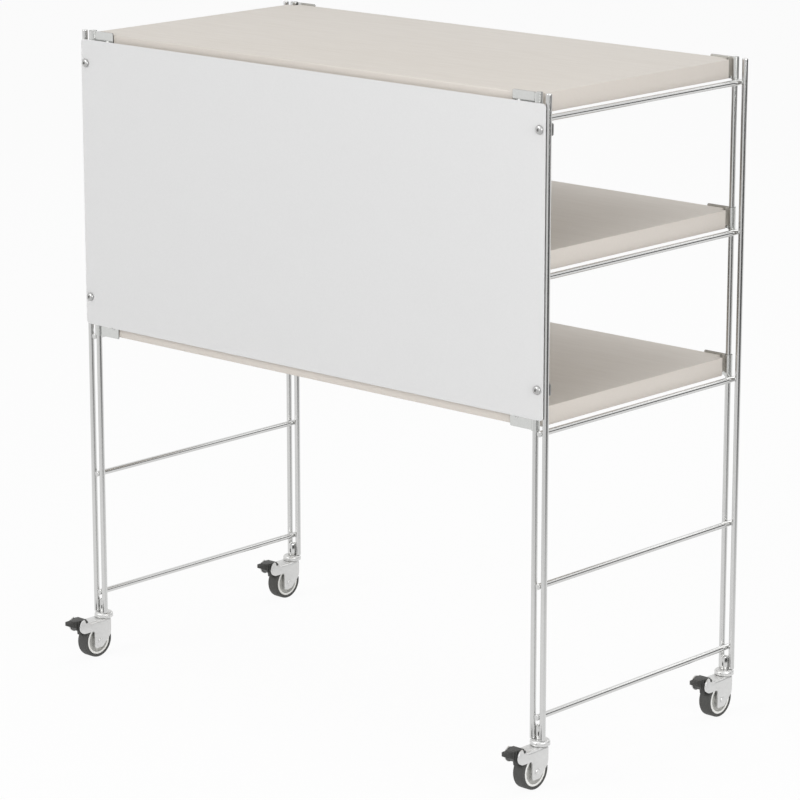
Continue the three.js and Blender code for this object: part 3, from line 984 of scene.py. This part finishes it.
@dataclass(frozen=True)
class Caster:
    """A braked swivel caster, drawn round its swivel axis with the wheel trailing towards -Y.

    Heights are above the floor. A shoulder's points are drops below the tread and insets from the
    tyre's side, and a pedal step's are an inset, a distance ahead of the pin and a fillet.
    """

    trail: float = 19.0
    running_gap: float = 0.3
    wheel_radius: float = 25.0
    tyre_half: float = 9.5
    tyre_edge: float = 0.3
    shoulder: Profile = ((2.6, 0.0), (1.0, 0.5), (0.25, 1.4), (0.05, 2.4), (0.35, 2.7), (0.0, 3.1))
    rim_radius: float = 20.5
    rim_half: float = 8.5
    rim_lip: float = 3.0
    web_half: float = 4.5
    web_draft: float = 0.8
    web_margin: float = 0.1
    boss_radius: float = 7.5
    boss_half: float = 10.0
    boss_edge: float = 0.6
    hub_edge: float = 0.35
    axle_radius: float = 3.0
    axle_nose: float = 0.3
    cap_radius: float = 4.2
    cap_rise: float = 1.2
    cap_side: float = 0.5
    cap_slope: float = 1.0
    cap_edge: float = 0.35
    cap_sink: float = 0.02
    sheet: float = 2.0
    fork_half: float = 12.3
    fork_edge: float = 0.7
    crown_under: float = 52.5
    crown_top: float = 55.0
    crown_front: float = -38.0
    crown_bend: float = 3.0
    inner_bend: float = 1.2
    overcut: float = 2.0
    cheek_back: float = 2.6
    cheek_foot: float = 37.0
    leg_ahead: float = 10.3
    leg_below: float = 10.0
    leg_bend: float = 3.0
    heel: float = -16.0
    heel_radius: float = 4.5
    heel_turn: float = 48.0
    knee: tuple[float, float] = (-0.4, 28.6)
    knee_centre: tuple[float, float] = (-6.0, 34.2)
    knee_turn: float = 45.0
    pivot_ahead: float = 44.5
    pivot_height: float = 58.8
    lobe_radius: float = 10.5
    lobe_ahead: float = 2.2
    lobe_height: float = 52.0
    ear_ahead: float = 3.9
    pin_radius: float = 2.0
    pin_nose: float = 0.5
    rivet_base: float = 50.2
    rivet_top: float = 52.2
    rivet_radius: float = 7.0
    rivet_edge: float = 0.6
    rivet_shank: float = 4.6
    cup_base: float = 57.6
    cup_height: float = 5.1
    cup_rim: float = 13.4
    cup_inside: float = 12.2
    cup_skirt: float = 55.5
    cup_seat: float = 9.4
    cup_shoulder: float = 3.6
    cup_edge: float = 0.25
    dome_steps: int = 8
    stem_radius: float = 3.9
    stem_height: float = 15.3
    stem_nose: float = 0.8
    race_radius: float = 11.9
    race_bore: float = 5.2
    race_base: float = 54.6
    race_side: float = 55.6
    race_top: float = 57.0
    race_slope: float = 1.4
    race_edge: float = 0.4
    pedal_half: float = 9.5
    pedal_top: float = 61.5
    pedal_depth: float = 14.5
    pedal_edge: float = 0.5
    pedal_steps: Corners = (
        (0.0, -2.5, 1.2), (0.0, 7.2, 0.5), (2.2, 8.3, 0.4), (0.9, 11.7, 0.5), (3.3, 12.7, 0.4),
        (2.0, 16.0, 0.5), (4.6, 17.0, 0.5),
    )
    tongue_half: float = 4.6
    tongue_tip: float = -73.0
    tongue_corner: float = 3.4
    tongue_ahead: float = 15.0
    tongue_root_depth: float = 10.5
    tongue_tip_depth: float = 4.8
    ribs: int = 3
    rib_ahead: float = 19.5
    rib_pitch: float = 3.0
    rib_length: float = 7.4
    rib_taper: float = 0.3
    rib_diameter: float = 1.5
    rib_sink: float = 0.15
    rib_nose: float = 0.5
    shoe_half: float = 3.6
    shoe_root_half: float = 7.0
    shoe_drop: float = 20.8
    shoe_corner: float = 0.6
    shoe_depth: float = 4.0
    shoe_ahead: float = 2.5
    shoe_edge: float = 0.4

    def build(self) -> None:
        """Make the five pieces once and set a copy of each at every corner."""
        shapes = {
            "head": (self.head(), "caster_zinc", [ZINC], "rack"),
            "fork": (self.fork(), "caster_zinc", [ZINC], "swivel"),
            "hub": (self.hub(), "hub_plastic", [HUB_NYLON, WEB_NYLON_PAINTED_SHADE], "wheel"),
            "tyre": (self.tyre(), "tyre_rubber", [TYRE_RUBBER], "wheel"),
            "pedal": (self.pedal(), "pedal_plastic", [PEDAL_NYLON], "brake"),
        }
        for row in Row:
            for side in Side:
                corner = f"caster_{name_of(row, side)}"
                low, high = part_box(f"{corner}_head")
                place = Vector(((low.x + high.x) / 2, (low.y + high.y) / 2, 0))
                for part, (bm, slot, finishes, body) in shapes.items():
                    carrier = body if body == "rack" else f"{corner}_{body}"
                    piece = Piece(f"{corner}_{part}_form", carrier, slot, (f"{corner}_{part}",))
                    piece.make(copied(bm, place), finishes)
        for bm, *_ in shapes.values():
            bm.free()

    def head(self) -> bmesh.types.BMesh:
        """Make the stem, its cover cup and the rivet that holds the fork.

        Returns:
            A closed turned solid.
        """
        base, top = self.cup_base, self.cup_base + self.cup_height
        seat, rim, drop = self.cup_seat, self.cup_rim, self.cup_shoulder
        stem, tip, nose = self.stem_radius, top + self.stem_height, self.stem_nose
        turns = [math.radians(90 * (1 - at / self.dome_steps)) for at in range(self.dome_steps + 1)]
        dome = [(seat + (rim - seat) * math.sin(turn), top - drop * (1 - math.cos(turn))) for turn in turns]
        cup = spun([
            (0, self.rivet_base), (self.rivet_radius - self.rivet_edge, self.rivet_base),
            (self.rivet_radius, self.rivet_base + self.rivet_edge), (self.rivet_radius, self.rivet_top),
            (self.rivet_shank, self.rivet_top), (self.rivet_shank, base), (self.cup_inside, base),
            (self.cup_inside, self.cup_skirt), (rim, self.cup_skirt), *dome,
            (stem, top), (stem, tip - nose), (stem - nose, tip), (0, tip),
        ], Axis.Z, Facets.HEAD)
        return softened(cup, self.cup_edge, sharper=28)

    def cheek(self) -> Outline:
        """Return the side outline of the crown and legs, in Y and Z.

        Returns:
            The outline, not yet closed.
        """
        bottom, bend = self.lobe_height - self.lobe_radius, self.leg_bend
        front, foot = -(self.trail + self.leg_ahead), self.wheel_radius - self.leg_below
        outline = Outline((self.cheek_back, self.crown_top))
        outline.line((self.crown_front, self.crown_top), (self.crown_front, bottom), (front - bend, bottom))
        outline.arc((front - bend, bottom - bend), -90, steps=6)
        outline.line((front, foot + bend))
        outline.arc((front + bend, foot + bend), 90, steps=6)
        outline.line((self.heel, foot))
        outline.arc((self.heel, foot + self.heel_radius), self.heel_turn, steps=6)
        outline.line(self.knee)
        outline.arc(self.knee_centre, self.knee_turn, steps=8)
        outline.line((self.cheek_back, self.cheek_foot))
        return outline

    def lobe(self) -> Outline:
        """Return the outline of a cheek's lobe, with the open slot for the pedal's pin.

        Returns:
            The outline, not yet closed.
        """
        pivot, slot = -self.pivot_ahead, self.pin_radius + self.running_gap
        middle = pivot - self.lobe_ahead
        root = self.crown_front + self.sheet
        ear = math.degrees(math.asin((self.ear_ahead - self.lobe_ahead) / self.lobe_radius))
        outline = Outline((root, self.lobe_height - self.lobe_radius))
        outline.line((middle, self.lobe_height - self.lobe_radius))
        outline.arc((middle, self.lobe_height), ear - 180, steps=32)
        outline.line((pivot - slot, self.pivot_height))
        outline.arc((pivot, self.pivot_height), 180, steps=14)
        outline.line((root, self.crown_top - self.crown_bend))
        return outline

    def fork(self) -> bmesh.types.BMesh:
        """Make the pressed fork: bent crown, cheeks with lobes, race ring and riveted axle.

        Returns:
            A mesh of the pressing, with the ring, axle and axle heads as shells on it.
        """
        outer, inner = self.fork_half, self.fork_half - self.sheet
        length = self.cheek_back - self.crown_front + 2 * self.overcut
        arch = rounded_plate([
            (-outer, 0, 0), (-inner, 0, 0), (-inner, self.crown_under, self.inner_bend),
            (inner, self.crown_under, self.inner_bend), (inner, 0, 0), (outer, 0, 0),
            (outer, self.crown_top, self.crown_bend), (-outer, self.crown_top, self.crown_bend),
        ], length, Plane.FRONT)
        moved(arch, 0, self.cheek_back + self.overcut - length / 2, 0)
        pressing = combined(arch, self.cheek().plate(4 * outer, Plane.SIDE), Cut.KEEP)
        for sign in (-1, 1):
            plate = moved(self.lobe().plate(self.sheet, Plane.SIDE), sign * (outer - self.sheet / 2), 0, 0)
            pressing = combined(pressing, plate, Cut.JOIN)
        softened(pressing, self.fork_edge, segments=3, sharper=40)
        axle = rod(2 * inner, 2 * self.axle_radius, Axis.X, self.axle_nose)
        moved(axle, -inner, -self.trail, self.wheel_radius)
        return gathered(pressing, self.race(), self.axle_cap(-1), self.axle_cap(1), axle)

    def race(self) -> bmesh.types.BMesh:
        """Make the ring of the swivel race on the crown.

        Returns:
            A closed turned ring.
        """
        bore, edge, foot, top = self.race_bore, self.race_radius, self.race_base, self.race_top
        ring = spun([
            (bore, foot), (edge, foot), (edge, self.race_side), (edge - self.race_slope, top),
            (bore, top), (bore, foot),
        ], Axis.Z, Facets.HEAD)
        return softened(ring, self.race_edge, segments=3, sharper=25)

    def axle_cap(self, sign: int) -> bmesh.types.BMesh:
        """Make one riveted head of the axle.

        Args:
            sign: The sign along X of the cheek that it stands on.

        Returns:
            A closed turned cap.
        """
        head, rise = self.cap_radius, self.cap_rise
        cap = spun([
            (0, 0), (head, 0), (head, self.cap_side), (head - self.cap_slope, rise), (0, rise),
        ], Axis.X, Facets.ROD)
        softened(cap, self.cap_edge, segments=3, sharper=20)
        turn = Matrix.Rotation(0 if sign > 0 else math.pi, 3, "Z")
        bmesh.ops.rotate(cap, verts=cap.verts[:], cent=(0, 0, 0), matrix=turn)
        return moved(cap, sign * (self.fork_half - self.cap_sink), -self.trail, self.wheel_radius)

    def hub(self) -> bmesh.types.BMesh:
        """Make the hub: a pale rim with a recessed web and a boss, the web and boss darkened with painted
        shade.

        Returns:
            A closed turned solid, with the web's and the boss's faces in the second finish, a painted shade
            of the recess.
        """
        bore, boss, edge = self.axle_radius + self.running_gap, self.boss_radius, self.boss_edge
        lip, draft = self.rim_radius - self.rim_lip, self.web_draft
        profile = mirrored([
            (bore, self.boss_half), (boss - edge, self.boss_half), (boss, self.boss_half - edge),
            (boss + draft, self.web_half), (lip - draft, self.web_half), (lip, self.rim_half),
            (self.rim_radius, self.rim_half),
        ])
        bm = softened(spun(profile, Axis.X, Facets.HUB), self.hub_edge)
        # Faces inside the rim take the second finish, the painted shade of the recess
        for face in bm.faces:
            middle = face.calc_center_median() / MM
            face.material_index = 0 if math.hypot(middle.y, middle.z) > lip - self.web_margin else 1
        return moved(bm, 0, -self.trail, self.wheel_radius)

    def tyre(self) -> bmesh.types.BMesh:
        """Make the tyre, with rounded shoulders and a shallow groove beside each.

        Returns:
            A closed turned solid.
        """
        bore, side, top = self.rim_radius + self.running_gap, self.tyre_half, self.wheel_radius
        half = [(bore, self.rim_half), *[(top - drop, side - inset) for drop, inset in self.shoulder]]
        bm = softened(spun(mirrored(half), Axis.X, Facets.TYRE), self.tyre_edge, sharper=14)
        return moved(bm, 0, -self.trail, self.wheel_radius)

    def pedal(self) -> bmesh.types.BMesh:
        """Make the brake pedal: a stepped body, a rounded tongue with grip ribs, its pin and its shoe.

        Returns:
            A mesh of the moulding, with the ribs, shoe and pin as shells on it.
        """
        pivot, top = -self.pivot_ahead, self.pedal_top
        shells = [self.pedal_body()]
        for at in range(self.ribs):
            length = self.rib_length - self.rib_taper * at
            rib = rod(length, self.rib_diameter, Axis.X, self.rib_nose)
            ahead = pivot - self.rib_ahead - self.rib_pitch * at
            shells.append(moved(rib, -length / 2, ahead, top - self.rib_sink))
        tip, root, drop, corner = self.shoe_half, self.shoe_root_half, self.shoe_drop, self.shoe_corner
        shoe = rounded_plate(
            [(-tip, -drop, corner), (tip, -drop, corner), (root, 0, 0), (-root, 0, 0)],
            self.shoe_depth, Plane.FRONT,
        )
        softened(shoe, self.shoe_edge, sharper=60)
        shells.append(moved(shoe, 0, pivot - self.shoe_ahead, self.pivot_height))
        pin = rod(2 * self.fork_half, 2 * self.pin_radius, Axis.X, self.pin_nose)
        return gathered(*shells, moved(pin, -self.fork_half, pivot, self.pivot_height))

    def pedal_body(self) -> bmesh.types.BMesh:
        """Make the pedal's body, whose underside rises towards the tip of the tongue.

        Returns:
            A closed moulding.
        """
        pivot, half, top = -self.pivot_ahead, self.pedal_half, self.pedal_top
        right = [(half - inset, pivot - ahead, fillet) for inset, ahead, fillet in self.pedal_steps]
        right.append((self.tongue_half, self.tongue_tip, self.tongue_corner))
        corners = [(-x, y, fillet) for x, y, fillet in right]
        corners += [(x, y, fillet) for x, y, fillet in reversed(right)]
        body = rounded_plate(corners, self.pedal_depth, Plane.PLAN, steps=5)
        moved(body, 0, 0, top - self.pedal_depth / 2)
        root, tip = pivot - self.tongue_ahead, self.tongue_tip
        rise = self.tongue_root_depth - self.tongue_tip_depth
        for point in body.verts:
            ahead = min(max((root - point.co.y / MM) / (root - tip), 0), 1)
            if point.co.z / MM < top - self.pedal_depth / 2 and ahead > 0:
                point.co.z = (top - self.tongue_root_depth + rise * ahead) * MM
        return softened(body, self.pedal_edge, segments=3, sharper=40)


@dataclass(frozen=True)
class Lamp:
    """A soft square lamp: its place and its side in metres, and its share of the lamps' power."""

    name: str
    place: tuple[float, float, float]
    size: float
    share: float


@dataclass(frozen=True)
class Card:
    """A grey card bent round the rack, which only the metal's reflections show.

    Its sweep is in degrees to the right of the camera. Its section is a row of distances from the
    middle and heights, in metres.
    """

    name: str
    first: float
    last: float
    shade: float
    section: Profile


@dataclass(frozen=True)
class Studio:
    """Camera, pale floor, soft light and the cards that the metal reflects.

    A band of the far wall is given by its top and foot, in degrees below the horizon, and its shade.
    """

    azimuth: float = 42.329
    elevation: float = 13.92
    distance: float = 4938.7
    aim: tuple[float, float, float] = (17.1, -1.5, 418.6)
    lens: float = 161.33
    view_limit: float = 100.0
    floor_size: float = 60.0
    floor_grey: float = 0.9
    floor_roughness: float = 0.9
    floor_glow: float = 0.93
    ambient: float = 0.45
    lamp_power: float = 55.0
    lamps: tuple[Lamp, ...] = (
        Lamp("key", (-1.2, -4.0, 2.6), size=2.4, share=1.35),
        Lamp("side", (3.8, -1.0, 1.5), size=2.4, share=1.03),
        Lamp("top", (0.2, 0.4, 4.2), size=3.0, share=0.56),
        Lamp("back", (0.6, 4.0, 2.2), size=2.4, share=0.3),
    )
    wall_distance: float = 12.0
    wall_sweep: tuple[float, float] = (6.0, 80.0)
    wall_bands: Corners = (
        (-2.0, 11.8, 0.1), (11.8, 12.8, 0.28), (12.8, 13.8, 0.45), (13.8, 14.8, 0.68), (14.8, 16.5, 0.85),
    )
    cards: tuple[Card, ...] = (
        Card("card_left", -62, -6, shade=0.87, section=((1.1, 0.002), (4.0, 0.002), (4.0, 0.8))),
        Card("card_behind", 82, 125, shade=0.08, section=((4.0, 0.25), (4.0, 1.6))),
    )

    def build(self) -> None:
        """Make the camera, floor, world, lamps and cards."""
        bpy.context.scene.view_settings.view_transform = "Standard"
        self.camera()
        self.floor()
        self.world()
        for lamp in self.lamps:
            self.lamp(lamp)
        for card in (*self.wall(), *self.cards):
            self.card(card)

    @staticmethod
    def toward(azimuth: float, elevation: float) -> Vector:
        """Find the direction from the rack to a viewer.

        Args:
            azimuth: Degrees round to the right from the front.
            elevation: Degrees above the horizon.

        Returns:
            The unit vector to the viewer.
        """
        turn, tilt = math.radians(azimuth), math.radians(elevation)
        flat = math.cos(tilt)
        return Vector((math.sin(turn) * flat, -math.cos(turn) * flat, math.sin(tilt)))

    def camera(self) -> None:
        """Make the camera at the photograph's angle."""
        data = bpy.data.cameras.new("camera")
        data.sensor_width = FILM_WIDTH
        data.lens = self.lens
        data.clip_end = self.view_limit
        obj = bpy.data.objects.new("camera", data)
        back = self.toward(self.azimuth, self.elevation)
        obj.location = Vector(self.aim) * MM + back * self.distance * MM
        obj.rotation_euler = (-back).to_track_quat("-Z", "Y").to_euler()
        bpy.context.scene.collection.objects.link(obj)
        bpy.context.scene.camera = obj

    def seen(self, tree: bpy.types.NodeTree) -> bpy.types.NodeSocket:
        """Return 1 for rays from the camera, a mirror or glass, and 0 for the rest.

        Args:
            tree: The node tree to add to.

        Returns:
            The socket that carries the value.
        """
        path = add_node(tree, "ShaderNodeLightPath")
        first = add_node(
            tree, "ShaderNodeMath", {"operation": "MAXIMUM"},
            {0: path.outputs["Is Camera Ray"], 1: path.outputs["Is Glossy Ray"]},
        )
        last = add_node(
            tree, "ShaderNodeMath", {"operation": "MAXIMUM"},
            {0: first.outputs[0], 1: path.outputs["Is Transmission Ray"]},
        )
        return last.outputs[0]

    def floor(self) -> None:
        """Make the pale floor, which shows white, keeps a soft shadow and is clear from below."""
        bm = bmesh.new()
        bmesh.ops.create_grid(bm, x_segments=1, y_segments=1, size=self.floor_size / 2)
        data = bpy.data.meshes.new("floor")
        bm.to_mesh(data)
        bm.free()
        obj = bpy.data.objects.new("floor", data)
        bpy.context.scene.collection.objects.link(obj)
        material = bpy.data.materials.new("pale_floor")
        material.use_nodes = True
        tree = material.node_tree
        shader = tree.nodes["Principled BSDF"]
        shader.inputs["Base Color"].default_value = (self.floor_grey, self.floor_grey, self.floor_grey, 1)
        shader.inputs["Roughness"].default_value = self.floor_roughness
        glow = add_node(tree, "ShaderNodeEmission", {"Strength": 1.0})
        share = add_node(
            tree, "ShaderNodeMath", {"operation": "MULTIPLY", 1: self.floor_glow}, {0: self.seen(tree)},
        )
        mix = add_node(
            tree, "ShaderNodeMixShader", None,
            {0: share.outputs[0], 1: shader.outputs[0], 2: glow.outputs[0]},
        )
        side = add_node(tree, "ShaderNodeNewGeometry")
        clear = add_node(tree, "ShaderNodeBsdfTransparent")
        whole = add_node(
            tree, "ShaderNodeMixShader", None,
            {0: side.outputs["Backfacing"], 1: mix.outputs[0], 2: clear.outputs[0]},
        )
        tree.links.new(whole.outputs[0], tree.nodes["Material Output"].inputs["Surface"])
        data.materials.append(material)
        # Reflections look past the floor, to the cards and the white surroundings
        obj.visible_glossy = False

    def world(self) -> None:
        """Make the surroundings: white where they are seen, and a plain even light elsewhere."""
        world = bpy.data.worlds.new("studio")
        world.use_nodes = True
        bpy.context.scene.world = world
        tree = world.node_tree
        strength = add_node(
            tree, "ShaderNodeMapRange", {"To Min": self.ambient, "To Max": 1.0}, {"Value": self.seen(tree)},
        )
        background = tree.nodes["Background"]
        background.inputs["Color"].default_value = (1, 1, 1, 1)
        tree.links.new(strength.outputs[0], background.inputs["Strength"])

    def lamp(self, lamp: Lamp) -> None:
        """Make one lamp, turned to face the rack.

        Args:
            lamp: What the lamp is like.
        """
        data = bpy.data.lights.new(lamp.name, "AREA")
        data.size = lamp.size
        data.energy = lamp.share * self.lamp_power
        obj = bpy.data.objects.new(lamp.name, data)
        obj.location = Vector(lamp.place)
        aim = Vector(self.aim) * MM - obj.location
        obj.rotation_euler = aim.to_track_quat("-Z", "Y").to_euler()
        bpy.context.scene.collection.objects.link(obj)

    def wall(self) -> list[Card]:
        """Work out the far wall to the camera's right, which pales towards its foot.

        Returns:
            A card for each of its bands.
        """
        bands = []
        for at, (top, foot, shade) in enumerate(self.wall_bands, 1):
            drops = [-math.tan(math.radians(below)) for below in (top, foot)]
            section = [(self.wall_distance, self.wall_distance * drop) for drop in drops]
            bands.append(Card(f"card_right_{at}", *self.wall_sweep, shade, section))
        return bands

    def card(self, card: Card) -> None:
        """Make one card, plain and glowing with its own shade.

        Args:
            card: What the card is like.
        """
        bm = bmesh.new()
        start = self.toward(self.azimuth + card.first, 0)
        points = [bm.verts.new(start * out + Vector((0, 0, up))) for out, up in card.section]
        edges = [bm.edges.new(pair) for pair in zip(points, points[1:])]
        bmesh.ops.spin(
            bm, geom=points + edges, cent=(0, 0, 0), axis=(0, 0, 1),
            angle=math.radians(card.last - card.first), steps=24,
        )
        data = bpy.data.meshes.new(card.name)
        bm.to_mesh(data)
        bm.free()
        material = bpy.data.materials.new(card.name)
        material.use_nodes = True
        tree = material.node_tree
        glow = add_node(tree, "ShaderNodeEmission", {"Strength": card.shade})
        tree.links.new(glow.outputs[0], tree.nodes["Material Output"].inputs["Surface"])
        data.materials.append(material)
        obj = bpy.data.objects.new(card.name, data)
        obj.visible_camera = False
        obj.visible_diffuse = False
        obj.visible_shadow = False
        bpy.context.scene.collection.objects.link(obj)


def main() -> None:
    """Build the studio and then the rack, sub-assembly by sub-assembly."""
    logging.basicConfig(level=logging.INFO, format="%(message)s")
    Studio().build()
    ends = LadderEnds()
    ends.build()
    ShelfSet().build(ends)
    FrontPanel().build()
    Caster().build()


if __name__ == "__main__":
    main()
